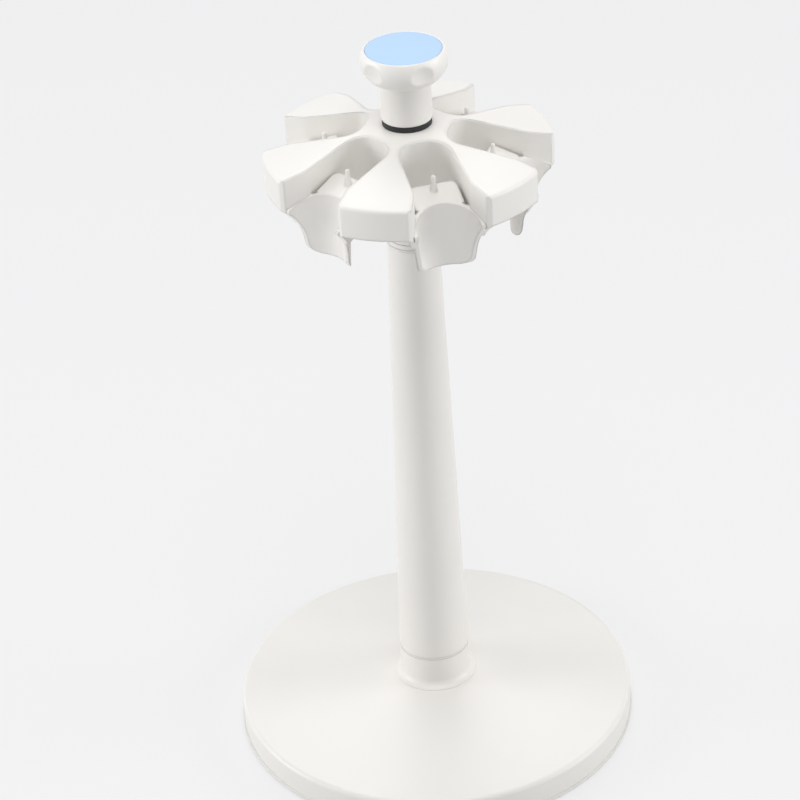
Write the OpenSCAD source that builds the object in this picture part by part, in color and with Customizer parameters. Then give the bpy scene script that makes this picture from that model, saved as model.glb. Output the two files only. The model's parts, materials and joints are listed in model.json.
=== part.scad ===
// Pipette carousel stand: a weighted round base, a tapered column, a six-place
// rotor that turns on a ball bearing, and a screwed knob that clamps the stack.

/* [Base] */
// Radius of the base over its rim
base_r = 91; // [80:1:110]
// Height of the rim's top edge above the table
rim_top_z = 14.5; // [14:0.5:20]
// Rounding of the rim's top edge
rim_round = 2.2; // [1:0.1:5]
// Height of the dome where it meets the boss
dome_z = 22; // [20:0.5:30]
// Radius of the fillet between boss and dome
boss_fillet = 3.2; // [2:0.1:6]
// Height of the top of the boss, where the column stands
boss_top_z = 37; // [34:0.5:50]
// Wall of the base cover
cover_wall = 2.4; // [1.8:0.1:3]
// Height of the cover's lower edge above the table
skirt_z = 0.8; // [0.5:0.1:1.2]
// How far the bead round the lower edge stands proud
bead_out = 0.5; // [0.2:0.1:1]
// Height of the bead
bead_h = 1.6; // [1:0.1:2.5]

/* [Base inside] */
// Thickness of the bottom plate
plate_t = 3; // [2.5:0.1:3.5]
// Height of the bottom plate above the table
plate_z = 1.2; // [1:0.1:2]
// Thickness of the iron weight
weight_t = 7; // [5:0.5:7.5]
// Distance of the iron weight's edge from the base's rim
weight_inset = 13; // [12:1:24]
// Radius of the weight's middle hole
weight_hole_r = 24; // [22:0.5:28]
// Inner radius of the cup round the clamp nut
cup_r = 17.5; // [16:0.5:19]
// Thickness of the cup's floor, which the clamp washer bears on
cup_floor_t = 4; // [3:0.5:6]
// Distance of the cover screws from the base's rim
screw_inset = 33; // [28:1:40]
// Radius of a screw boss under the cover
screw_boss_r = 4.2; // [4:0.1:5]
// Shank radius of a cover screw
screw_r = 1.75; // [1.5:0.05:2]
// Length of a cover screw's shank in its boss
screw_l = 7; // [5:0.5:8]
// Head radius of a cover screw
screw_head_r = 3.3; // [3:0.1:4]
// Thickness of a cover screw's head
screw_head_t = 1.6; // [1.2:0.1:2]
// Width of the cross slot in a screw's head
screw_slot_w = 0.8; // [0.6:0.1:1]
// Radius of a rubber foot
foot_r = 8; // [6:0.5:10]
// Distance of the feet's centres from the base's rim
foot_inset = 17; // [14:0.5:26]
// Depth of the seat of a foot in the plate
foot_seat = 1.2; // [0.8:0.1:1.6]
// Chamfer round the sole of a foot
foot_chamfer = 0.6; // [0.3:0.1:0.8]

/* [Column] */
// Column radius at its foot
column_foot_r = 16; // [15:0.1:17]
// Column radius at its top
column_top_r = 11.2; // [11:0.1:13]
// Height of the column's top edge
column_top_z = 249.5; // [200:0.5:300]
// Wall of the column
column_wall = 2.4; // [1.8:0.1:2.6]
// Wall of the column at its foot
column_foot_wall = 3.3; // [2.6:0.1:3.6]
// Thickness of the ring between boss and column
seat_ring_t = 1.2; // [0.8:0.1:2]
// Length of the boss spigot inside the column
spigot_l = 14; // [8:1:24]
// Thickness of the head collar above the column
head_collar_t = 5.8; // [4:0.1:9]
// Length of the head's plug inside the column
head_plug_l = 16; // [10:1:30]
// Depth of the fine rings turned in the collar
collar_groove = 0.35; // [0.2:0.05:0.6]
// Width of the fine rings
collar_groove_w = 0.3; // [0.2:0.05:0.5]
// Small chamfer on the column's two ends
edge_break = 0.25; // [0.15:0.05:0.4]

/* [Spindle] */
// Radius of the tie rod
rod_r = 4; // [3.5:0.1:4.5]
// Length of the chamfer on the rod's ends
rod_chamfer = 1; // [0.6:0.1:1.5]
// Across the flats of the clamp nut
nut_af = 13; // [12:0.5:15]
// Height of the clamp nut
nut_h = 6; // [5:0.1:6.4]
// Outer radius of the clamp washer
washer_r = 8; // [7:0.1:9.5]
// Thickness of the clamp washer
washer_t = 1.6; // [1.2:0.1:2]
// Thickness of the spring washer
spring_t = 1.8; // [1.2:0.1:2]
// Width of the split in the spring washer
spring_split = 0.8; // [0.5:0.1:1.2]
// Room between the nut and the bottom plate's top
nut_room = 1.2; // [0.8:0.1:3]
// Wall of the spindle sleeve on the rod
sleeve_wall = 1.95; // [1.5:0.05:2.5]

/* [Bearing and bush] */
// Outer radius of the ball bearing
bearing_r = 11; // [10.8:0.1:12]
// Width of the ball bearing
bearing_w = 7; // [6:0.5:8]
// Radius of a ball
ball_r = 1.98; // [1.6:0.01:2.1]
// Number of balls
ball_count = 7; // [6:1:8]
// Half thickness of the ball cage
cage_half_t = 0.7; // [0.5:0.1:0.9]
// Height of the shoulder that lifts the inner race off the collar
race_lift = 0.7; // [0.5:0.1:1]
// Wall of the top bush
bush_wall = 1.6; // [1.2:0.1:2]
// Length of the top bush
bush_l = 14; // [10:0.5:18]
// Thickness of the bush's flange
bush_flange_t = 1.2; // [0.8:0.1:1.6]
// How far the flange stands out round the bush
bush_flange_w = 1.4; // [1:0.1:1.8]

/* [Rotor] */
// Radius over the arms
rotor_r = 61.5; // [58:0.5:70]
// Number of pockets
pocket_count = 6; // [4:1:6]
// Height of the hub's flat top above the bearing's foot
hub_h = 49.9; // [48:0.1:54]
// Radius of the flat on top of the hub
hub_flat_r = 12.5; // [11.5:0.1:14]
// Fall of the roof from the hub to the arms' outer edge
roof_fall = 9.4; // [6:0.1:12]
// Height of an arm's outer wall
arm_wall_h = 14; // [10:0.5:16]
// Rounding of the rotor's top edge
arm_round = 1.6; // [0.8:0.1:2.5]
// Wall of the rotor moulding
rotor_wall = 2; // [1.6:0.1:2.4]
// Wall of the hub round the bearing
hub_wall = 2.3; // [1.8:0.1:3]
// Thickness of the ribs between hub and pockets
rib_t = 1.6; // [1.2:0.1:2]
// Inner end of a pocket, from the axis
pocket_in_x = 17.9; // [17:0.1:20]
// Half width of a pocket near its inner end
pocket_half_w = 10.9; // [10.6:0.1:12]
// Corner radius at a pocket's inner end
pocket_corner_r = 8; // [5:0.5:9]
// Half width of a pocket where its sides start to flare
mouth_half_w = 12; // [11.6:0.1:13]
// Where a pocket's sides start to flare, from the axis
flare_x = 49; // [46:0.5:51]
// Angle of the flare
flare_deg = 21.5; // [16:0.5:24]
// How far before a wing's tip its corner is cut
corner_cut = 1.2; // [0.6:0.1:1.8]
// Angle of the corner cut to the pocket's middle line
corner_deg = 72; // [60:1:78]

/* [Cradle] */
// Radius of the cradle's hollow at its lower edge
cradle_low_r = 12.4; // [11:0.1:13]
// Radius of the hollow at the height of the arms' top edge
cradle_top_r = 14; // [13.4:0.1:14.1]
// Back of the hollow at its lower edge, from the axis
cradle_back_x = 45; // [44:0.1:46]
// Wall of the cradle's shell
shell_wall = 1.8; // [1.5:0.1:2]
// Depth of the cradle's lower edge below the arms' top edge
cradle_depth = 35.8; // [32:0.1:38]
// Front of the cradle's lip, from the axis
lip_x = 51; // [50.4:0.1:52]
// Radius of the sweep between the lip and the arms
sweep_r = 20.6; // [18:0.1:24]
// Rounding of the lip's lower corner
lip_round = 6; // [3:0.5:7]
// Depth of the pocket walls' lower edge below the arms' top edge
well_depth = 20.5; // [18:0.5:24]
// Inner edge of the seat, from the axis
seat_in_x = 33; // [31:0.5:35]
// Depth of the seat's inner edge below the arms' top edge
seat_depth = 3.5; // [2:0.1:5]
// Fall of the seat from its inner edge to the cradle
seat_fall_deg = 21; // [12:1:26]
// Slot between the seat and the pocket's sides
seat_slot = 0.5; // [0.4:0.1:0.9]
// Rounding of the seat's inner corners
seat_corner_r = 3; // [1:0.5:4]
// Where the slots end and the seat joins the pocket's sides, from the axis
seat_web_x = 46.5; // [45:0.5:47]
// Depth of the skirt below the seat's inner edge
skirt_depth = 19; // [12:0.5:22]
// Radius of the peg at its foot
peg_foot_r = 1.6; // [1.3:0.1:2]
// Radius of the peg's round tip
peg_r = 0.9; // [0.7:0.1:1.2]
// Distance of the peg from the axis
peg_x = 36.4; // [35.5:0.1:38]
// Height of the peg over the seat
peg_h = 7; // [5:0.1:9]

/* [Knob] */
// Radius of the knob's stem
stem_r = 10.9; // [10.4:0.1:12]
// Length of the stem below the head
stem_l = 17.4; // [14:0.1:22]
// Rounding of the stem's lower edge
stem_round = 0.8; // [0.3:0.1:1.2]
// Thickness of the rubber washer under the stem
rubber_t = 2.4; // [1.5:0.1:4]
// How far the rubber washer stays inside the stem's edge
rubber_inset = 0.35; // [0.2:0.05:1]
// Widest radius of the knob's head
head_r = 18.5; // [17.5:0.1:22]
// Radius of the round of the head's side
head_arc_r = 9.2; // [8:0.1:10]
// Height of the head, from its underside to its top
head_h = 14.2; // [13:0.1:17]
// Radius of the coloured cap
cap_r = 16.1; // [13:0.1:16.3]
// Thickness of the coloured cap
cap_t = 1.6; // [1:0.1:2.5]
// Number of finger dimples
dimple_count = 5; // [4:1:6]
// Radius of the ball that shapes a dimple
dimple_r = 14; // [10:0.5:20]
// Depth of a dimple
dimple_depth = 1.7; // [0.8:0.1:2]
// How far below the head's widest line a dimple is centred, as an angle
dimple_dip_deg = 6; // [0:1:20]
// Turn of the first dimple about the axis
dimple_deg = 63; // [0:1:72]
// Outer radius of the knob's threaded insert
insert_r = 8; // [7.5:0.1:8.5]
// Length of the insert inside the stem
insert_l = 15; // [10:0.5:18]
// Room over the rod's end inside the knob
rod_room = 3; // [2:0.5:5]

/* [Fits] */
// Radial clearance of a running fit
running_fit = 0.05; // [0.02:0.01:0.08]
// Radial clearance between parts that are assembled and stay still
slip_fit = 0.1; // [0.05:0.05:0.3]
// Radial clearance of pressed, glued and screwed parts
press_fit = 0.02; // [0.01:0.01:0.04]

/* [Hidden] */
$fn = 72;
eps = 0.01;
past = 1; // how far a cut runs past the face it opens

white = [0.95, 0.95, 0.93];
steel = [0.72, 0.73, 0.75];

screw_count = 4;
screw_turn = 45;
foot_count = 4;
pocket_step = 360 / pocket_count;
pocket_start = -90;

// the base, from the rim inwards
foot_pcr = base_r - foot_inset;
screw_pcr = base_r - screw_inset;
weight_r = base_r - weight_inset;
cup_wall = cover_wall;
guide_r = rod_r + slip_fit + column_foot_wall;
column_bore_r = column_foot_r - column_foot_wall;
head_bore_r = column_top_r - column_wall;

// heights of the stack, from the table up
plate_top = plate_z + plate_t;
nut_z = plate_top + nut_room;
nut_top = nut_z + nut_h;
cup_floor_z = nut_top + spring_t + washer_t;
ring_top_z = boss_top_z + seat_ring_t;
head_top_z = column_top_z + head_collar_t;
bearing_z = head_top_z + race_lift;
bearing_mid_z = bearing_z + bearing_w / 2;
bearing_top = bearing_z + bearing_w;
hub_top_z = bearing_z + hub_h;
stem_z = hub_top_z + rubber_t;
head_under_z = stem_z + stem_l;
top_z = head_under_z + head_h;
rod_top = stem_z + insert_l + rod_room / 2;

// radii of the spindle and its bearings
sleeve_in_r = rod_r + slip_fit;
sleeve_r = sleeve_in_r + sleeve_wall;
race_pitch = (rod_r + bearing_r) / 2;
race_groove = ball_r + running_fit;
race_land = 0.72 * ball_r; // the races stop this far from the pitch circle
inner_race_r = race_pitch - race_land;
outer_race_r = race_pitch + race_land;
bush_r = sleeve_r + running_fit + bush_wall;
bush_flange_r = bush_r + bush_flange_w;
hub_r = bearing_r + hub_wall;
hub_tube_r = bush_r + rotor_wall;
hub_foot_z = bearing_z + race_lift;

// rotor surfaces
arm_top_z = hub_top_z - roof_fall;
arm_foot_z = arm_top_z - arm_wall_h;
roof_slope = roof_fall / (rotor_r - hub_flat_r);
roof_drop = rotor_wall / cos(atan(roof_slope));
rotor_far = rotor_r + 12; // past everything on the rotor
rotor_span = hub_h + cradle_depth;
skin_step = 0.1;
flare_slope = tan(flare_deg);
flare_base = mouth_half_w - flare_x * flare_slope;
tip_x = (sqrt(pow(rotor_r, 2) * (1 + pow(flare_slope, 2)) - pow(flare_base, 2)) - flare_slope * flare_base)
        / (1 + pow(flare_slope, 2));
well_z = arm_top_z - well_depth;

// cradle, seat and peg
cradle_z = arm_top_z - cradle_depth;
cradle_cx = cradle_back_x + cradle_low_r;
seat_in_z = arm_top_z - seat_depth;
seat_slope = tan(seat_fall_deg);
seat_half_w = pocket_half_w - seat_slot;
sweep_x = lip_x + sweep_r;
sweep_over = 1.6; // the sweep leaves the rotor this far above the arms' foot
sweep_z = arm_foot_z + sweep_over - sqrt(pow(sweep_r, 2) - pow(sweep_x - rotor_r, 2));
knee_rise = 3.5;
knee_x = sweep_x - sqrt(pow(sweep_r, 2) - pow(knee_rise, 2)) + 0.05;

function seat_z(x) = seat_in_z - (x - seat_in_x) * seat_slope;

module ring_of(count, radius, start = 0) {
    for (i = [0 : count - 1])
        rotate([0, 0, start + 360 * i / count]) translate([radius, 0, 0]) children();
}

module tube(z0, z1, r_out, r_in) {
    translate([0, 0, z0]) difference() {
        cylinder(h = z1 - z0, r = r_out);
        translate([0, 0, -past]) cylinder(h = z1 - z0 + 2 * past, r = r_in);
    }
}

module each_pocket() {
    for (i = [0 : pocket_count - 1]) rotate([0, 0, pocket_start + pocket_step * i]) children();
}

// Stands a side view up, x outward and y upward, as a slab across a pocket
module across_pocket() {
    rotate([90, 0, 0]) translate([0, 0, -rotor_r / 2]) linear_extrude(height = rotor_r) children();
}

// ---- base ----

// Half section of the base's outer form, from the axis to the rim; an inset one runs on below
module base_form(inset = 0) {
    r = base_r - inset;
    top = rim_top_z - inset;
    dome = dome_z - inset;
    neck = column_foot_r - inset;
    foot = neck + boss_fillet;
    low = inset > 0 ? skirt_z - past : skirt_z;
    soft = max(rim_round - inset, eps);
    difference() {
        union() {
            polygon([[0, low], [r, low], [r, top - soft], [r - soft, top - soft], [r - soft, top],
                     [foot, dome], [0, dome]]);
            translate([r - soft, top - soft]) circle(r = soft);
            // boss with its fillet onto the dome
            polygon([[0, dome - past], [foot, dome - past], [foot, dome + 0.15],
                     [neck, dome + boss_fillet], [neck, boss_top_z], [0, boss_top_z]]);
        }
        translate([foot, dome + boss_fillet + 0.15]) circle(r = boss_fillet);
    }
}

module base_cover() {
    color(white) difference() {
        union() {
            rotate_extrude() base_form();
            // bead round the lower edge
            translate([0, 0, skirt_z]) cylinder(h = bead_h, r = base_r + bead_out);
            // spigot that centres the column
            translate([0, 0, boss_top_z - past])
                cylinder(h = spigot_l + past, r = column_bore_r - slip_fit);
        }
        difference() {
            rotate_extrude() intersection() {
                base_form(cover_wall);
                square([base_r, boss_top_z - cover_wall]);
            }
            // cup round the nut, its floor and the rod's guide over it
            tube(cup_floor_z, cup_floor_z + cup_floor_t, cup_r + cup_wall, rod_r + slip_fit);
            tube(plate_top, dome_z, cup_r + cup_wall, cup_r);
            tube(cup_floor_z, boss_top_z, guide_r, rod_r + slip_fit);
            ring_of(screw_count, screw_pcr, screw_turn) translate([0, 0, plate_top])
                cylinder(h = dome_z, r = screw_boss_r);
        }
        translate([0, 0, skirt_z - past])
            cylinder(h = boss_top_z + spigot_l + 2 * past, r = rod_r + slip_fit);
        // screw holes
        ring_of(screw_count, screw_pcr, screw_turn) translate([0, 0, plate_top - past])
            cylinder(h = screw_l + 2 * past, r = screw_r);
    }
}

module base_plate() {
    color([0.35, 0.36, 0.38]) difference() {
        translate([0, 0, plate_z]) cylinder(h = plate_t, r = base_r - cover_wall - slip_fit);
        // opening under the nut
        translate([0, 0, plate_z - past]) cylinder(h = plate_t + 2 * past, r = washer_r + washer_r / 2);
        ring_of(screw_count, screw_pcr, screw_turn) {
            translate([0, 0, plate_z - past]) cylinder(h = plate_t + 2 * past, r = screw_r + slip_fit);
            translate([0, 0, plate_z - past])
                cylinder(h = screw_head_t + past, r = screw_head_r + slip_fit);
        }
        ring_of(foot_count, foot_pcr) translate([0, 0, plate_z - past])
            cylinder(h = foot_seat + past, r = foot_r + slip_fit);
    }
}

module base_weight() {
    color([0.25, 0.25, 0.27]) difference() {
        translate([0, 0, plate_top]) cylinder(h = weight_t, r = weight_r);
        translate([0, 0, plate_top - past]) cylinder(h = weight_t + 2 * past, r = weight_hole_r);
        ring_of(screw_count, screw_pcr, screw_turn) translate([0, 0, plate_top - past])
            cylinder(h = weight_t + 2 * past, r = screw_boss_r + 8 * slip_fit);
    }
}

module foot(i) {
    color([0.12, 0.12, 0.13]) rotate([0, 0, 360 * (i - 1) / foot_count])
        translate([foot_pcr, 0, 0]) {
            cylinder(h = foot_chamfer, r1 = foot_r - foot_chamfer, r2 = foot_r);
            translate([0, 0, foot_chamfer])
                cylinder(h = plate_z + foot_seat - foot_chamfer, r = foot_r);
        }
}

module cover_screws() {
    slot_d = screw_head_t / 2;
    color(steel) ring_of(screw_count, screw_pcr, screw_turn) difference() {
        union() {
            translate([0, 0, plate_z]) cylinder(h = screw_head_t, r = screw_head_r);
            translate([0, 0, plate_z + screw_head_t - eps])
                cylinder(h = plate_t - screw_head_t + screw_l, r = screw_r - press_fit);
        }
        for (a = [0, 90]) rotate([0, 0, a])
            translate([-screw_head_r * 0.6, -screw_slot_w / 2, plate_z - past])
                cube([screw_head_r * 1.2, screw_slot_w, slot_d + past]);
    }
}

// ---- column ----

module seat_ring() {
    color([0.88, 0.88, 0.87]) tube(boss_top_z, ring_top_z, column_foot_r - edge_break, column_bore_r);
}

module column() {
    bore_top = column_top_z - head_plug_l - column_wall;
    bore_low = ring_top_z + spigot_l + column_wall;
    color(white) rotate_extrude() polygon([
        [column_bore_r, ring_top_z], [column_foot_r - edge_break, ring_top_z],
        [column_foot_r, ring_top_z + edge_break], [column_top_r, column_top_z - edge_break],
        [column_top_r - edge_break, column_top_z], [head_bore_r, column_top_z],
        [head_bore_r, bore_top], [column_bore_r, bore_low]]);
}

module column_head() {
    color(white) difference() {
        union() {
            translate([0, 0, column_top_z - head_plug_l])
                cylinder(h = head_plug_l + past, r = head_bore_r - slip_fit);
            translate([0, 0, column_top_z]) cylinder(h = head_collar_t, r = column_top_r);
            // shoulder under the bearing's inner race
            translate([0, 0, head_top_z]) cylinder(h = race_lift, r = inner_race_r);
        }
        for (share = [0.2, 0.6]) tube(column_top_z + share * head_collar_t - collar_groove_w,
                                      column_top_z + share * head_collar_t,
                                      column_top_r + past, column_top_r - collar_groove);
        translate([0, 0, column_top_z - head_plug_l - past])
            cylinder(h = head_plug_l + head_collar_t + race_lift + 2 * past, r = rod_r + slip_fit);
    }
}

// ---- spindle ----

module tie_rod() {
    thin_r = rod_r - 0.8 * rod_chamfer;
    color(steel) {
        translate([0, 0, nut_z - rod_chamfer]) cylinder(h = rod_chamfer, r1 = thin_r, r2 = rod_r);
        translate([0, 0, nut_z - eps])
            cylinder(h = rod_top - nut_z - rod_chamfer + eps, r = rod_r);
        translate([0, 0, rod_top - rod_chamfer - eps])
            cylinder(h = rod_chamfer, r1 = rod_r, r2 = thin_r);
    }
}

module clamp_nut() {
    color(steel) difference() {
        translate([0, 0, nut_z]) cylinder(h = nut_h, r = nut_af / sqrt(3), $fn = 6);
        translate([0, 0, nut_z - past]) cylinder(h = nut_h + 2 * past, r = rod_r + press_fit);
    }
}

module spring_washer() {
    color([0.6, 0.6, 0.62]) difference() {
        tube(nut_top, nut_top + spring_t, nut_af / 2, rod_r + slip_fit);
        rotate([0, 0, 30]) translate([0, -spring_split / 2, nut_top - past])
            cube([washer_r, spring_split, spring_t + 2 * past]);
    }
}

module clamp_washer() {
    color(steel) tube(cup_floor_z - washer_t, cup_floor_z, washer_r, rod_r + slip_fit);
}

module spindle_sleeve() {
    color([0.78, 0.79, 0.8]) tube(bearing_top, stem_z, sleeve_r, sleeve_in_r);
}

// ---- ball bearing ----

module race_path() {
    translate([0, 0, bearing_mid_z]) rotate_extrude()
        translate([race_pitch, 0]) circle(r = race_groove);
}

module bearing_inner_race() {
    color(steel) difference() {
        tube(bearing_z, bearing_top, inner_race_r, rod_r + press_fit);
        race_path();
    }
}

module bearing_outer_race() {
    color(steel) difference() {
        tube(bearing_z, bearing_top, bearing_r, outer_race_r);
        race_path();
    }
}

module bearing_cage() {
    cage_h = 2 * ball_r + 2 * cage_half_t;
    color([0.75, 0.6, 0.35]) difference() {
        tube(bearing_mid_z - cage_h / 2, bearing_mid_z + cage_h / 2,
             race_pitch + cage_half_t, race_pitch - cage_half_t);
        ring_of(ball_count, race_pitch) translate([0, 0, bearing_mid_z])
            sphere(r = ball_r + running_fit);
    }
}

module bearing_balls() {
    color([0.8, 0.81, 0.83]) ring_of(ball_count, race_pitch)
        translate([0, 0, bearing_mid_z]) sphere(r = ball_r);
}

// ---- rotor ----

// Plan of one pocket, opening along +X; grow widens it on every side
module pocket_plan(grow = 0) {
    in_w = pocket_half_w + grow;
    mouth_w = mouth_half_w + grow;
    flare_w = mouth_half_w + grow / cos(flare_deg) + (rotor_far - flare_x) * flare_slope;
    cx = pocket_in_x + pocket_corner_r;
    cy = pocket_half_w - pocket_corner_r;
    for (s = [-1, 1]) translate([cx, s * cy]) circle(r = pocket_corner_r + grow);
    translate([pocket_in_x - grow, -cy]) square([pocket_corner_r, 2 * cy]);
    polygon([[cx, -in_w], [flare_x, -mouth_w], [rotor_far, -flare_w],
             [rotor_far, flare_w], [flare_x, mouth_w], [cx, in_w]]);
}

// Plan of what the two corner cuts at a pocket's mouth take away
module corner_plan() {
    x = tip_x - corner_cut;
    y = flare_base + x * flare_slope;
    far_y = y + (rotor_far - x) * tan(corner_deg);
    polygon([[x, -y], [rotor_far, -far_y], [rotor_far, far_y], [x, y]]);
}

// Half section of the rotor's roof and outer wall
module rotor_skin() {
    in_r = rotor_r - rotor_wall;
    round_z = arm_top_z - arm_round;
    rotate_extrude() polygon(concat(
        [[0, hub_top_z], [hub_flat_r, hub_top_z]],
        [for (a = [75 : -25 : 0]) [rotor_r - arm_round * (1 - cos(a)), round_z + arm_round * sin(a)]],
        [[rotor_r, arm_foot_z], [in_r, arm_foot_z], [in_r, arm_top_z - roof_drop],
         [hub_flat_r, hub_top_z - roof_drop], [0, hub_top_z - roof_drop]]));
}

// What the pocket walls may fill: just under the roof and inside the rim
module rotor_envelope() {
    r = rotor_r - skin_step;
    z = arm_top_z - skin_step;
    low = cradle_z - past;
    rotate_extrude() polygon([
        [0, low], [r, low], [r, z - arm_round], [r - 0.3 * arm_round, z - 0.3 * arm_round],
        [r - arm_round, z], [hub_flat_r, hub_top_z - skin_step], [0, hub_top_z - skin_step]]);
}

// Side view of the lip: straight back, round lower corner, then the sweep up to the arms
module lip_side() {
    corner_x = lip_x - lip_round - 0.1;
    difference() {
        polygon(concat(
            [[seat_in_x, well_z], [seat_in_x, hub_top_z], [rotor_far, hub_top_z],
             [rotor_far, sweep_z + knee_rise], [knee_x, sweep_z + knee_rise]],
            [for (a = [0 : -22.5 : -90]) [corner_x + lip_round * cos(a),
                                          cradle_z + lip_round * (1 + sin(a))]],
            [[seat_web_x - lip_round, cradle_z], [seat_web_x - lip_round, well_z]]));
        translate([sweep_x, sweep_z]) circle(r = sweep_r);
    }
}

// Side view of the pocket's walls, which end higher than the cradle
module wall_side() {
    difference() {
        polygon([[0, well_z], [rotor_far, well_z], [rotor_far, hub_top_z], [0, hub_top_z]]);
        translate([sweep_x, sweep_z]) circle(r = sweep_r);
    }
}

// The upright walls round a pocket
module pocket_walls() {
    intersection() {
        translate([0, 0, cradle_z]) linear_extrude(height = rotor_span) difference() {
            pocket_plan(rotor_wall);
            pocket_plan(0);
        }
        across_pocket() wall_side();
    }
}

// The cradle's form, wider upwards; grow widens it
module cradle_cone(grow, low) {
    slope = (cradle_top_r - cradle_low_r) / cradle_depth;
    h = cradle_depth + low;
    translate([cradle_cx, 0, cradle_z - low])
        cylinder(h = h, r1 = cradle_low_r + grow - low * slope, r2 = cradle_top_r + grow);
}

// What lies under the sloping seat; drop lowers it
module under_seat(drop = 0) {
    across_pocket() polygon([
        [seat_in_x - past, cradle_z - past], [rotor_far, cradle_z - past],
        [rotor_far, seat_z(rotor_far) - drop], [seat_in_x - past, seat_z(seat_in_x - past) - drop]]);
}

// Plan of the seat, with round inner corners; inset narrows it
module seat_plan(inset = 0) {
    w = seat_half_w - inset;
    r = seat_corner_r - inset / 2;
    x0 = seat_in_x + inset;
    for (s = [-1, 1]) translate([x0 + r, s * (w - r)]) circle(r = r);
    translate([x0, r - w]) square([r, 2 * (w - r)]);
    translate([x0 + r, -w]) square([cradle_cx - cradle_low_r - x0 - r + inset, 2 * w]);
}

// Seat plate with its skirt, open below, and the webs that tie it to the pocket's sides
module seat_box() {
    foot_z = seat_in_z - skirt_depth;
    web_w = mouth_half_w + rotor_wall / 4;
    difference() {
        translate([0, 0, foot_z]) linear_extrude(height = skirt_depth + past) seat_plan();
        intersection() {
            translate([0, 0, foot_z - past]) linear_extrude(height = skirt_depth)
                seat_plan(rotor_wall);
            under_seat(rotor_wall);
        }
    }
    difference() {
        translate([seat_web_x, -web_w, seat_z(flare_x) - 2 * rotor_wall])
            cube([flare_x + past - seat_web_x, 2 * web_w, 5 * rotor_wall]);
        under_seat(rotor_wall);
    }
    // ties below the seat, between the skirt and the pocket's sides
    translate([seat_in_x + seat_corner_r + past, -mouth_half_w + rotor_wall / 4, foot_z])
        cube([rotor_wall, 2 * mouth_half_w - rotor_wall / 2, skirt_depth / 3]);
}

// Cradle shell and seat of one pocket
module pocket_seat() {
    difference() {
        intersection() {
            union() {
                cradle_cone(shell_wall, 0);
                seat_box();
            }
            under_seat();
            across_pocket() lip_side();
        }
        cradle_cone(0, past);
    }
}

// Round-topped peg that keeps a pipette's finger rest from sliding off
module peg() {
    foot = seat_z(peg_x) - rotor_wall / 2;
    tip = seat_z(peg_x) + peg_h - peg_r;
    translate([peg_x, 0, foot]) cylinder(h = tip - foot, r1 = peg_foot_r, r2 = peg_r);
    translate([peg_x, 0, tip]) sphere(r = peg_r);
}

module hub() {
    // cup round the bearing
    translate([0, 0, hub_foot_z]) cylinder(h = bearing_top + rotor_wall - hub_foot_z, r = hub_r);
    translate([0, 0, bearing_top]) cylinder(h = hub_top_z - bearing_top - roof_drop / 4, r = hub_tube_r);
    each_pocket() translate([hub_tube_r - past, -rib_t / 2, well_z])
        cube([pocket_in_x - hub_tube_r + past / 2, rib_t, hub_top_z - well_z - 1.5 * rotor_wall]);
}

module rotor() {
    color(white) difference() {
        union() {
            difference() {
                rotor_skin();
                each_pocket() translate([0, 0, cradle_z]) linear_extrude(height = rotor_span)
                    pocket_plan(rotor_wall / 2);
            }
            hub();
            each_pocket() {
                intersection() {
                    union() {
                        pocket_walls();
                        pocket_seat();
                    }
                    rotor_envelope();
                }
                peg();
            }
        }
        each_pocket() translate([0, 0, cradle_z]) linear_extrude(height = rotor_span) corner_plan();
        // bearing seat, bush bore and flange seat
        translate([0, 0, hub_foot_z - past])
            cylinder(h = bearing_top - hub_foot_z + past, r = bearing_r);
        translate([0, 0, bearing_z]) cylinder(h = hub_h + past, r = bush_r);
        translate([0, 0, hub_top_z - bush_flange_t])
            cylinder(h = bush_flange_t + past, r = bush_flange_r);
    }
}

module top_bush() {
    color([0.9, 0.88, 0.8]) difference() {
        union() {
            translate([0, 0, hub_top_z - bush_l]) cylinder(h = bush_l, r = bush_r);
            translate([0, 0, hub_top_z - bush_flange_t])
                cylinder(h = bush_flange_t, r = bush_flange_r);
        }
        translate([0, 0, hub_top_z - bush_l - past])
            cylinder(h = bush_l + 2 * past, r = sleeve_r + running_fit);
    }
}

module rubber_washer() {
    color([0.05, 0.05, 0.06])
        tube(hub_top_z, stem_z, stem_r - rubber_inset, sleeve_r + 4 * slip_fit);
}

// ---- knob ----

// Half section of the knob: stem, round head and flat top
module knob_form() {
    arc_x = head_r - head_arc_r;
    arc_z = head_under_z + head_arc_r;
    difference() {
        union() {
            square([stem_r - stem_round, head_under_z + past]);
            translate([0, stem_z + stem_round])
                square([stem_r, stem_l - stem_round + past]);
            translate([stem_r - stem_round, stem_z + stem_round]) circle(r = stem_round);
            translate([0, head_under_z]) square([arc_x, head_h + past]);
            translate([arc_x, arc_z]) circle(r = head_arc_r);
        }
        translate([-past, top_z]) square([head_r + 2 * past, head_h]);
        translate([-past, -past]) square([head_r + 2 * past, stem_z + past]);
        translate([-head_r, -past]) square([head_r, top_z + head_h]);
    }
}

module knob() {
    reach = head_arc_r + dimple_r - dimple_depth;
    color(white) difference() {
        rotate_extrude() knob_form();
        ring_of(dimple_count, head_r - head_arc_r + reach * cos(dimple_dip_deg), dimple_deg)
            translate([0, 0, head_under_z + head_arc_r - reach * sin(dimple_dip_deg)])
                sphere(r = dimple_r);
        // seat of the cap
        translate([0, 0, top_z - cap_t]) cylinder(h = cap_t + past, r = cap_r + press_fit);
        // seat of the insert and room for the rod's end
        translate([0, 0, stem_z - past]) cylinder(h = insert_l + past, r = insert_r);
        translate([0, 0, stem_z]) cylinder(h = insert_l + rod_room, r = rod_r + 5 * slip_fit);
    }
}

module knob_insert() {
    color([0.8, 0.66, 0.35])
        tube(stem_z, stem_z + insert_l, insert_r - press_fit, rod_r + running_fit);
}

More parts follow.
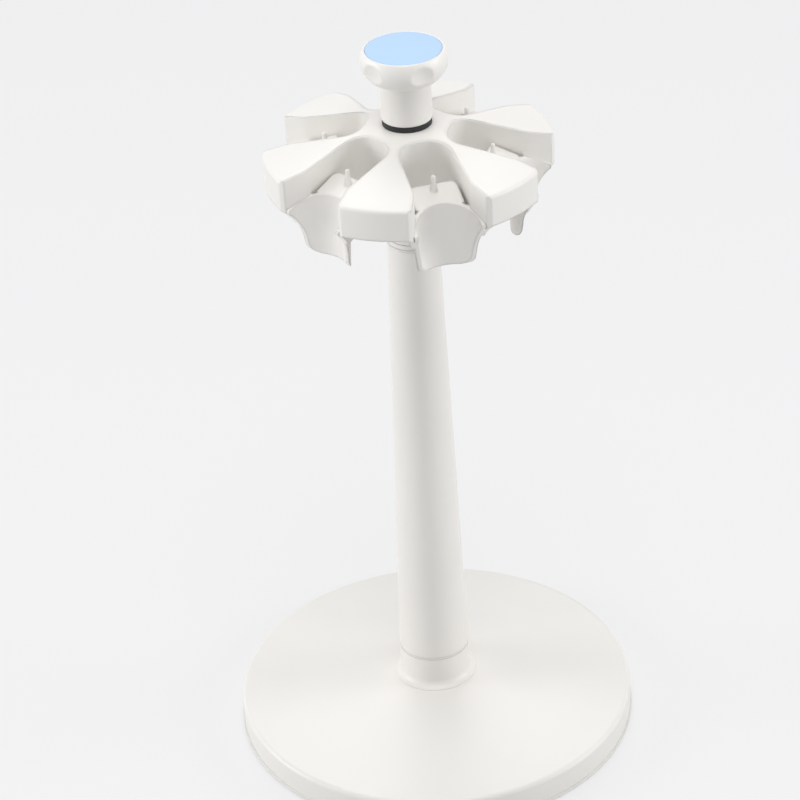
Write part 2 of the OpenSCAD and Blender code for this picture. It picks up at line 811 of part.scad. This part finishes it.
module knob_cap() {
    color([0.7, 0.84, 1]) translate([0, 0, top_z - cap_t]) cylinder(h = cap_t, r = cap_r);
}

base_cover();
base_weight();
base_plate();
foot(1);  // foot_1
foot(2);  // foot_2
foot(3);  // foot_3
foot(4);  // foot_4
cover_screws();
seat_ring();
column();
column_head();
tie_rod();
clamp_nut();
spring_washer();
clamp_washer();
bearing_inner_race();
bearing_outer_race();
bearing_cage();
bearing_balls();
spindle_sleeve();
rotor();
top_bush();
rubber_washer();
knob();
knob_insert();
knob_cap();
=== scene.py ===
import bpy, bmesh, json, math
from mathutils import Vector, Matrix


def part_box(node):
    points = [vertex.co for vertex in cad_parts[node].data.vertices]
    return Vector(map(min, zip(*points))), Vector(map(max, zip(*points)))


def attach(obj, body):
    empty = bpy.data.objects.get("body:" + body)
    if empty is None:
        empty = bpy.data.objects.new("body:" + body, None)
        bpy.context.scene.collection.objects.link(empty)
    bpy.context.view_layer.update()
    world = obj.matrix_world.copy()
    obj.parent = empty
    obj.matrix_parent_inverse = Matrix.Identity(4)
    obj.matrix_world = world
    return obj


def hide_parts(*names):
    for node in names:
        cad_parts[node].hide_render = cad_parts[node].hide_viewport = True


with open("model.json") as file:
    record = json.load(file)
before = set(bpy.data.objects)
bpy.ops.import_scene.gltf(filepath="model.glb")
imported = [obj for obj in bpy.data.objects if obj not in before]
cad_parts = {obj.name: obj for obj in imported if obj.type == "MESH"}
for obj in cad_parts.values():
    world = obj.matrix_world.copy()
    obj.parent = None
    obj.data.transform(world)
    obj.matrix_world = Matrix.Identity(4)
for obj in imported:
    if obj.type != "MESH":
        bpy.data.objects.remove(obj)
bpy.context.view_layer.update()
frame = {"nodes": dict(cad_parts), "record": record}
nodes = frame["nodes"]
record = frame["record"]
bodyOf = {node: body for body, held in record["behaviour"]["bodies"].items() for node in held}
slotOf = {part["node"]: part["material_slot"] for part in record["subparts"]}
print("frame loaded:", len(nodes), "nodes")

cameraView = {
    "lens": 133.45,          # mm, on a 36 mm sensor
    "sensor": 36,
    "distance": 1.33385,     # from the aim point on the column's axis
    "aimHeight": 0.13072,
    "azimuth": -105.17,      # where the camera stands, degrees from +X
    "elevation": 33.232,
    "roll": -2.977,
    "pan": 0.490,            # the aim point sits this far right of centre, degrees
    "tilt": 1.388,           # and this far below it
    "farClip": 50,
}


def outwardTo(azimuth, elevation):
    az, el = math.radians(azimuth), math.radians(elevation)
    return Vector((math.cos(az) * math.cos(el), math.sin(az) * math.cos(el), math.sin(el)))


def makeCamera(view):
    roll, pan, tilt = (math.radians(view[k]) for k in ("roll", "pan", "tilt"))
    outward = outwardTo(view["azimuth"], view["elevation"])
    place = Vector((0, 0, view["aimHeight"])) + outward * view["distance"]
    look = -outward
    right = look.cross(Vector((0, 0, 1))).normalized()
    up = right.cross(look)
    rolled = Matrix.Rotation(-roll, 3, look)
    right, up = rolled @ right, rolled @ up
    panned = Matrix.Rotation(pan, 3, up)
    look, right = panned @ look, panned @ right
    tilted = Matrix.Rotation(tilt, 3, right)
    look, up = tilted @ look, tilted @ up
    data = bpy.data.cameras.new("studioCamera")
    data.lens = view["lens"]
    data.sensor_width = view["sensor"]
    data.clip_end = view["farClip"]
    camera = bpy.data.objects.new("studioCamera", data)
    bpy.context.collection.objects.link(camera)
    turn = Matrix((right, up, -look)).transposed().to_4x4()
    camera.matrix_world = Matrix.Translation(place) @ turn
    bpy.context.scene.camera = camera


makeCamera(cameraView)
bpy.context.scene.view_settings.view_transform = "Standard"
print("camera placed")

studio = {
    "floorRadius": 9.0,
    "floorSides": 96,
    "floorDrop": 0.0001,     # hair gap under the feet's soles
    "floorBounce": (0.75, 0.75, 0.755),     # the light that the floor gives back
    "floorShade": (0.26, 0.26, 0.262),      # the part of the seen floor that takes shadow
    "floorGlow": (0.625, 0.625, 0.628),     # and the part that doesn't
    "worldColour": (0.97, 0.985, 1.0),
    "worldLight": 0.50,
    "worldShown": (0.90, 0.90, 0.905),      # the backdrop, as seen and as reflected
    "lamps": [               # name, height aimed at, azimuth, elevation, distance, size, watts
        ("keyLeft", 0.16, 168, 16, 2.0, 1.1, 17.0),
        ("keyRight", 0.16, -20, 18, 2.0, 1.1, 14.0),
        ("topNear", 0.30, -100, 68, 0.8, 0.5, 2.15),
        ("topBack", 0.16, 78, 55, 2.0, 1.3, 8.0),
    ],
}


def seenRays(tree):
    # 1 for what the camera sees, straight, in a reflection or through glass
    rays = tree.nodes.new("ShaderNodeLightPath")
    value = rays.outputs["Is Camera Ray"]
    for other in ("Is Glossy Ray", "Is Transmission Ray"):
        both = tree.nodes.new("ShaderNodeMath")
        both.operation = "MAXIMUM"
        tree.links.new(value, both.inputs[0])
        tree.links.new(rays.outputs[other], both.inputs[1])
        value = both.outputs[0]
    return value


def addShader(tree, kind, colour):
    shader = tree.nodes.new(kind)
    shader.inputs["Color"].default_value = (*colour, 1)
    return shader.outputs[0]


def showToCamera(tree, lighting, shown, surface):
    # one shader lights the object, the other is what the camera and the reflections see
    pick = tree.nodes.new("ShaderNodeMixShader")
    tree.links.new(seenRays(tree), pick.inputs["Fac"])
    tree.links.new(lighting, pick.inputs[1])
    tree.links.new(shown, pick.inputs[2])
    tree.links.new(pick.outputs[0], surface)


def makeFloor(look):
    bm = bmesh.new()
    bmesh.ops.create_circle(bm, cap_ends=True, segments=look["floorSides"],
                            radius=look["floorRadius"])
    bmesh.ops.translate(bm, vec=(0, 0, -look["floorDrop"]), verts=bm.verts)
    mesh = bpy.data.meshes.new("floor")
    bm.to_mesh(mesh)
    bm.free()
    floor = bpy.data.objects.new("floor", mesh)
    bpy.context.collection.objects.link(floor)
    mat = bpy.data.materials.new("paleFloor")
    mat.use_nodes = True
    tree = mat.node_tree
    tree.nodes.clear()
    bounce = addShader(tree, "ShaderNodeBsdfDiffuse", look["floorBounce"])
    shade = addShader(tree, "ShaderNodeBsdfDiffuse", look["floorShade"])
    glow = addShader(tree, "ShaderNodeEmission", look["floorGlow"])
    both = tree.nodes.new("ShaderNodeAddShader")
    out = tree.nodes.new("ShaderNodeOutputMaterial")
    tree.links.new(shade, both.inputs[0])
    tree.links.new(glow, both.inputs[1])
    showToCamera(tree, bounce, both.outputs[0], out.inputs["Surface"])
    mesh.materials.append(mat)


def makeWorld(look):
    world = bpy.data.worlds.new("studioWorld")
    bpy.context.scene.world = world
    world.use_nodes = True
    tree = world.node_tree
    soft = tree.nodes["Background"]
    soft.inputs["Color"].default_value = (*look["worldColour"], 1)
    soft.inputs["Strength"].default_value = look["worldLight"]
    backdrop = addShader(tree, "ShaderNodeBackground", look["worldShown"])
    showToCamera(tree, soft.outputs[0], backdrop, tree.nodes["World Output"].inputs["Surface"])


def makeLamps(look):
    for name, height, azimuth, elevation, distance, size, watts in look["lamps"]:
        outward = outwardTo(azimuth, elevation)
        data = bpy.data.lights.new(name, "AREA")
        data.shape = "DISK"
        data.size = size
        data.energy = watts
        lamp = bpy.data.objects.new(name, data)
        lamp.location = Vector((0, 0, height)) + outward * distance
        lamp.rotation_euler = (-outward).to_track_quat("-Z", "Y").to_euler()
        bpy.context.collection.objects.link(lamp)


makeFloor(studio)
makeWorld(studio)
makeLamps(studio)
print("studio lit")


def startMaterial(name):
    mat = bpy.data.materials.new(name)
    mat.use_nodes = True
    tree = mat.node_tree
    place = tree.nodes.new("ShaderNodeTexCoord")
    return mat, tree, tree.nodes["Principled BSDF"], place.outputs["Object"]


def addNoise(tree, vector, scale, detail, distortion=0):
    noise = tree.nodes.new("ShaderNodeTexNoise")
    noise.inputs["Scale"].default_value = scale
    noise.inputs["Detail"].default_value = detail
    noise.inputs["Distortion"].default_value = distortion
    tree.links.new(vector, noise.inputs["Vector"])
    return noise.outputs["Fac"]


def addTint(tree, value, low, high, start=0.3, end=0.7):
    ramp = tree.nodes.new("ShaderNodeValToRGB")
    first, last = ramp.color_ramp.elements
    first.position, last.position = start, end
    first.color, last.color = (*low, 1), (*high, 1)
    tree.links.new(value, ramp.inputs["Fac"])
    return ramp.outputs["Color"]


def addRange(tree, value, low, high):
    span = tree.nodes.new("ShaderNodeMapRange")
    span.inputs["To Min"].default_value = low
    span.inputs["To Max"].default_value = high
    tree.links.new(value, span.inputs["Value"])
    return span.outputs["Result"]


def addRelief(tree, value, strength, depth, normal=None):
    relief = tree.nodes.new("ShaderNodeBump")
    relief.inputs["Strength"].default_value = strength
    relief.inputs["Distance"].default_value = depth
    tree.links.new(value, relief.inputs["Height"])
    if normal:
        tree.links.new(normal, relief.inputs["Normal"])
    return relief.outputs["Normal"]


def shades(colour, spread):
    return [[min(1, c * (1 + s * spread)) for c in colour] for s in (-1, 1)]


plasticLook = {
    "flow": (16, 3, 0.6),    # faint clouds from the moulding: scale, detail, swirl
    "skin": (3200, 2),       # spark-eroded grain
    "handled": (260, 4),     # patches that hands have polished
    "polish": 0.07,          # how far they change the roughness
    "grainDepth": 0.00002,
    "edgeSamples": 4,
    "ior": 1.53,
}


def mouldedPlastic(name, colour, rough, spread=0.012, grain=0.3, edge=0.0006):
    # edge is the radius of the softened edges, which are in the shading alone
    look = plasticLook
    mat, tree, bsdf, place = startMaterial(name)
    flow = addNoise(tree, place, *look["flow"])
    skin = addNoise(tree, place, *look["skin"])
    handled = addNoise(tree, place, *look["handled"])
    low, high = shades(colour, spread)
    polished = addRange(tree, handled, rough - look["polish"], rough + look["polish"])
    tree.links.new(addTint(tree, flow, low, high), bsdf.inputs["Base Color"])
    tree.links.new(polished, bsdf.inputs["Roughness"])
    soft = tree.nodes.new("ShaderNodeBevel")
    soft.samples = look["edgeSamples"]
    soft.inputs["Radius"].default_value = edge
    normal = addRelief(tree, skin, grain, look["grainDepth"], soft.outputs["Normal"])
    tree.links.new(normal, bsdf.inputs["Normal"])
    bsdf.inputs["IOR"].default_value = look["ior"]
    return mat


rubberLook = {
    "bloom": (420, 5),       # talc on the surface
    "bloomSpread": 0.35,
    "bloomEnds": (0.35, 0.75),
    "smoother": 0.08,        # roughness taken off and added by the bloom
    "rougher": 0.1,
    "pores": (2600, 3),
    "poreStrength": 0.5,
    "poreDepth": 0.00004,
}


def rubberMaterial(name, colour, rough):
    look = rubberLook
    mat, tree, bsdf, place = startMaterial(name)
    bloom = addNoise(tree, place, *look["bloom"])
    pores = addNoise(tree, place, *look["pores"])
    low, high = shades(colour, look["bloomSpread"])
    dusty = addRange(tree, bloom, rough - look["smoother"], rough + look["rougher"])
    pitted = addRelief(tree, pores, look["poreStrength"], look["poreDepth"])
    tint = addTint(tree, bloom, low, high, *look["bloomEnds"])
    tree.links.new(tint, bsdf.inputs["Base Color"])
    tree.links.new(dusty, bsdf.inputs["Roughness"])
    tree.links.new(pitted, bsdf.inputs["Normal"])
    return mat


turnedLook = {
    "lineDetail": 2,
    "lineStrength": 0.35,
    "lineDepth": 0.00002,
    "stain": (130, 4),
    "stainSpread": 0.07,
    "smoother": 0.08,
    "rougher": 0.12,
}


def turnedMetal(name, colour, rough, lines):
    # fine tool lines run round the upright axis
    look = turnedLook
    mat, tree, bsdf, place = startMaterial(name)
    split = tree.nodes.new("ShaderNodeSeparateXYZ")
    tree.links.new(place, split.inputs[0])
    across = tree.nodes.new("ShaderNodeCombineXYZ")
    tree.links.new(split.outputs["X"], across.inputs["X"])
    tree.links.new(split.outputs["Y"], across.inputs["Y"])
    radius = tree.nodes.new("ShaderNodeVectorMath")
    radius.operation = "LENGTH"
    tree.links.new(across.outputs[0], radius.inputs[0])
    rings = tree.nodes.new("ShaderNodeCombineXYZ")
    tree.links.new(radius.outputs["Value"], rings.inputs["X"])
    tree.links.new(split.outputs["Z"], rings.inputs["Z"])
    cut = addNoise(tree, rings.outputs[0], lines, look["lineDetail"])
    stain = addNoise(tree, place, *look["stain"])
    low, high = shades(colour, look["stainSpread"])
    scored = addRange(tree, cut, rough - look["smoother"], rough + look["rougher"])
    grooved = addRelief(tree, cut, look["lineStrength"], look["lineDepth"])
    tree.links.new(addTint(tree, stain, low, high), bsdf.inputs["Base Color"])
    tree.links.new(scored, bsdf.inputs["Roughness"])
    tree.links.new(grooved, bsdf.inputs["Normal"])
    bsdf.inputs["Metallic"].default_value = 1
    return mat


ironLook = {
    "sand": (900, 6),        # the mould's grain, under black paint
    "sandStrength": 0.7,
    "sandDepth": 0.00015,
    "lumps": (120, 3),
    "lumpSpread": 0.3,
    "smoother": 0.15,
    "rougher": 0.1,
}


def castIron(name, colour, rough):
    look = ironLook
    mat, tree, bsdf, place = startMaterial(name)
    sand = addNoise(tree, place, *look["sand"])
    lumps = addNoise(tree, place, *look["lumps"])
    low, high = shades(colour, look["lumpSpread"])
    gritty = addRange(tree, sand, rough - look["smoother"], rough + look["rougher"])
    pitted = addRelief(tree, sand, look["sandStrength"], look["sandDepth"])
    tree.links.new(addTint(tree, lumps, low, high), bsdf.inputs["Base Color"])
    tree.links.new(gritty, bsdf.inputs["Roughness"])
    tree.links.new(pitted, bsdf.inputs["Normal"])
    return mat


plasticWhite = (0.840, 0.817, 0.780)
finishes = {
    "white_plastic": mouldedPlastic("whiteAbs", plasticWhite, 0.38),
    "ring_plastic": mouldedPlastic("ringAbs", (0.79, 0.77, 0.74), 0.48),
    "grey_plastic": mouldedPlastic("greyPlate", (0.10, 0.105, 0.11), 0.55,
                                   spread=0.05, grain=0.6),
    "bush_plastic": mouldedPlastic("acetalBush", (0.74, 0.71, 0.62), 0.42, spread=0.02),
    "blue_plastic": mouldedPlastic("blueCap", (0.43, 0.62, 0.93), 0.42,
                                   spread=0.015, edge=0.0003),
    "rubber": rubberMaterial("blackRubber", (0.016, 0.015, 0.017), 0.62),
    "steel": turnedMetal("turnedSteel", (0.60, 0.61, 0.62), 0.30, lines=5200),
    "brass": turnedMetal("turnedBrass", (0.76, 0.56, 0.26), 0.28, lines=4600),
    "iron": castIron("castIron", (0.045, 0.046, 0.05), 0.70),
}
for name, obj in nodes.items():
    obj.data.materials.clear()
    obj.data.materials.append(finishes[slotOf[name]])
print("materials set")


cleanUp = {
    "merge": 2e-6,           # corners of a CAD mesh this close together are one
    "flat": 0.4,             # faces that turn less than this lie in one plane, degrees
    "seam": 1e-7,            # where a lathed body meets itself
}


def standFor(bm, name, node, finish=None, crease=32, evenShading=True):
    # turns a finished bmesh into the piece that is shown in the node's place;
    # crease is the turn, in degrees, from which an edge stays sharp
    for face in bm.faces:
        face.smooth = True
    for edge in bm.edges:
        if len(edge.link_faces) == 2 and edge.calc_face_angle(0) > math.radians(crease):
            edge.smooth = False
    mesh = bpy.data.meshes.new(name)
    bm.to_mesh(mesh)
    bm.free()
    piece = bpy.data.objects.new(name, mesh)
    bpy.context.collection.objects.link(piece)
    mesh.materials.append(finish or finishes[slotOf[node]])
    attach(piece, bodyOf[node])
    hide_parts(node)
    if evenShading:
        even = piece.modifiers.new("evenShading", "WEIGHTED_NORMAL")
        even.keep_sharp = True
    return piece


def weldedCopy(node):
    bm = bmesh.new()
    bm.from_mesh(nodes[node].data)
    bmesh.ops.remove_doubles(bm, verts=bm.verts, dist=cleanUp["merge"])
    return bm


def plainCopy(node):
    # a welded copy whose flat faces are whole again
    bm = weldedCopy(node)
    bmesh.ops.dissolve_limit(bm, angle_limit=math.radians(cleanUp["flat"]),
                             verts=bm.verts, edges=bm.edges)
    return bm


def soften(bm, isPicked, look):
    # rounds the picked edges whose faces turn by more than the look says
    turn = math.radians(look["turn"])
    picked = [e for e in bm.edges if len(e.link_faces) == 2
              and isPicked(e) and e.calc_face_angle(0) > turn]
    bmesh.ops.bevel(bm, geom=picked, offset=look["edge"], offset_type="OFFSET", affect="EDGES",
                    segments=look["steps"], profile=0.5, material=-1, clamp_overlap=False,
                    loop_slide=True)
    print("softened", len(picked), "edges")


def reach(vert):
    return math.hypot(vert.co.x, vert.co.y)


def radiusOf(node):
    low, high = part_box(node)
    return (high[0] - low[0]) / 2


rotorLook = {
    "roofStep": 0.00013,     # the wall tops lie this little below the roof and are raised to it
    "hubFlat": 0.0125,       # radius of the hub's flat top
    "rimRound": 0.0017,      # the roof's slope ends this far inside the rim
    "roofFall": 0.0094,      # from the hub's flat to the rim
    "merge": 1e-5,           # what the raising brings together
    "thin": 1e-6,            # faces thinner than this go
    "rough": 0.38,
    "edge": 0.0014,          # radius of the edges' softening, in the shading alone
}


def makeRotor(look):
    bm = weldedCopy("rotor")
    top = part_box("rotor")[1][2]
    rimRadius = max(reach(v) for v in bm.verts)
    slope = look["roofFall"] / (rimRadius - look["hubFlat"])
    for vert in bm.verts:    # closes the hair step between walls and roof
        roof = top - max(0, reach(vert) - look["hubFlat"]) * slope
        if 0 < roof - vert.co.z < look["roofStep"] and reach(vert) < rimRadius - look["rimRound"]:
            vert.co.z = roof
    bmesh.ops.remove_doubles(bm, verts=bm.verts, dist=look["merge"])
    bmesh.ops.dissolve_degenerate(bm, edges=bm.edges, dist=look["thin"])
    white = mouldedPlastic("rotorAbs", plasticWhite, look["rough"], edge=look["edge"])
    standFor(bm, "carouselRotor", "rotor", white)


knobLook = {
    "voxel": 0.00036,        # size of the even skin's faces
    "rounds": 9,             # passes that soften the dimples' and the rim's edges
    "pull": 0.5,             # the share of the way to its neighbours that a pass moves a point
}


def makeKnob(look):
    piece = standFor(plainCopy("knob"), "clampKnob", "knob", evenShading=False)
    skin = piece.modifiers.new("evenSkin", "REMESH")
    skin.mode = "VOXEL"
    skin.voxel_size = look["voxel"]
    skin.use_smooth_shade = True
    soft = piece.modifiers.new("softEdges", "SMOOTH")
    soft.iterations = look["rounds"]
    soft.factor = look["pull"]


capLook = {
    "edge": 0.0004,
    "steps": 3,
    "turn": 40,              # edges that turn more than this are rounded, degrees
}


def makeCap(look):
    bm = plainCopy("knob_cap")
    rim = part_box("knob_cap")[1][2] - look["edge"]
    soften(bm, lambda edge: min(v.co.z for v in edge.verts) > rim, look)
    standFor(bm, "knobCapDisc", "knob_cap")


def lathe(bm, outline, steps):
    # spins an outline of (radius, height) pairs round the axis into a closed body
    verts = [bm.verts.new((r, 0, z)) for r, z in outline]
    edges = [bm.edges.new(pair) for pair in zip(verts, verts[1:])]
    bmesh.ops.spin(bm, geom=verts + edges, cent=(0, 0, 0), axis=(0, 0, 1), angle=2 * math.pi,
                   steps=steps, use_merge=True)
    bmesh.ops.remove_doubles(bm, verts=bm.verts, dist=cleanUp["seam"])


def addThread(bm, root, crest, start, end, look):
    # a ridge that climbs one pitch a turn
    pitch, steps = look["pitch"], look["threadSteps"]
    turns = (end - start - pitch) / pitch
    half = pitch * look["ridgeWidth"] / 2
    low, high = half * (1 - look["crestFlat"]), half * (1 + look["crestFlat"])
    profile = ((root, start), (crest, start + low), (crest, start + high), (root, start + 2 * half))
    corners = [bm.verts.new((r, 0, z)) for r, z in profile]
    edges = [bm.edges.new(pair) for pair in zip(corners, corners[1:] + corners[:1])]
    face = bm.faces.new(corners)
    bmesh.ops.spin(bm, geom=[face] + edges + corners, cent=(0, 0, 0), axis=(0, 0, 1),
                   angle=2 * math.pi * turns, steps=int(turns * steps),
                   dvec=(0, 0, pitch / steps))


rodLook = {
    "pitch": 0.00125,        # coarse M8
    "rootDepth": 0.00062,
    "lowThread": 0.030,      # threaded length at the foot
    "highThread": 0.026,     # and at the knob
    "chamfer": 0.001,
    "relief": 0.0002,        # the ridge is sunk this far, and its crest half as far
    "ridgeWidth": 0.88,      # in pitches, at its foot
    "crestFlat": 0.1,        # the flat crest's share of the ridge
    "threadSteps": 28,       # for each turn
    "sides": 56,
}


def makeRod(look):
    low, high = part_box("tie_rod")
    foot, top = low[2], high[2]
    shank = radiusOf("tie_rod")
    depth = look["rootDepth"]
    root = shank - depth
    bevel = look["chamfer"] / 2
    lowEnd, highEnd = foot + look["lowThread"], top - look["highThread"]
    bm = bmesh.new()
    lathe(bm, [(0, foot), (root - bevel, foot), (root, foot + bevel),
               (root, lowEnd), (shank, lowEnd + depth),
               (shank, highEnd - depth), (root, highEnd),
               (root, top - bevel), (root - bevel, top), (0, top)], look["sides"])
    sunk, crest = root - look["relief"], shank - look["relief"] / 2
    addThread(bm, sunk, crest, foot + bevel, lowEnd, look)
    addThread(bm, sunk, crest, highEnd, top - bevel, look)
    bmesh.ops.recalc_face_normals(bm, faces=bm.faces)
    standFor(bm, "threadedRod", "tie_rod")


insertLook = {
    "band": 0.0012,          # plain band at each end
    "knurls": 44,
    "depth": 0.0003,
    "steepness": 3,          # a groove's depth over the width of its flank
    "boreGap": 0.00005,      # round the rod
    "upright": 0.1,          # a side face's normal climbs less than this
}


def makeInsert(look):
    # brass insert with straight knurling, which the knob is moulded round
    low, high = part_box("knob_insert")
    foot, top = low[2], high[2]
    band = look["band"]
    outer = radiusOf("knob_insert")
    inner = radiusOf("tie_rod") + look["boreGap"]
    bm = bmesh.new()
    lathe(bm, [(inner, foot), (outer, foot), (outer, foot + band), (outer, top - band),
               (outer, top), (inner, top), (inner, foot)], 2 * look["knurls"])
    bmesh.ops.recalc_face_normals(bm, faces=bm.faces)
    sides = [f for f in bm.faces if abs(f.normal.z) < look["upright"]
             and reach(f.verts[0]) > (inner + outer) / 2
             and min(v.co.z for v in f.verts) > foot + band / 2
             and max(v.co.z for v in f.verts) < top - band / 2]
    sides.sort(key=lambda f: math.atan2(f.calc_center_median().y, f.calc_center_median().x))
    bmesh.ops.inset_individual(bm, faces=sides[::2], thickness=look["depth"] / look["steepness"],
                               depth=-look["depth"])
    standFor(bm, "knurledInsert", "knob_insert")


nutLook = {
    "edge": 0.0004,
    "steps": 3,
    "turn": 50,              # edges that turn more than this are rounded, degrees
    "boreBand": 0.0005,      # nothing this close round the rod is rounded
}


def makeNut(look):
    bm = plainCopy("clamp_nut")
    bore = radiusOf("tie_rod") + look["boreBand"]
    soften(bm, lambda edge: min(reach(v) for v in edge.verts) > bore, look)
    standFor(bm, "hexNut", "clamp_nut")


makeRotor(rotorLook)
print("rotor's walls closed to its roof")
makeKnob(knobLook)
makeCap(capLook)
print("knob and cap softened")
makeRod(rodLook)
makeInsert(insertLook)
makeNut(nutLook)
print("rod, insert and nut detailed")
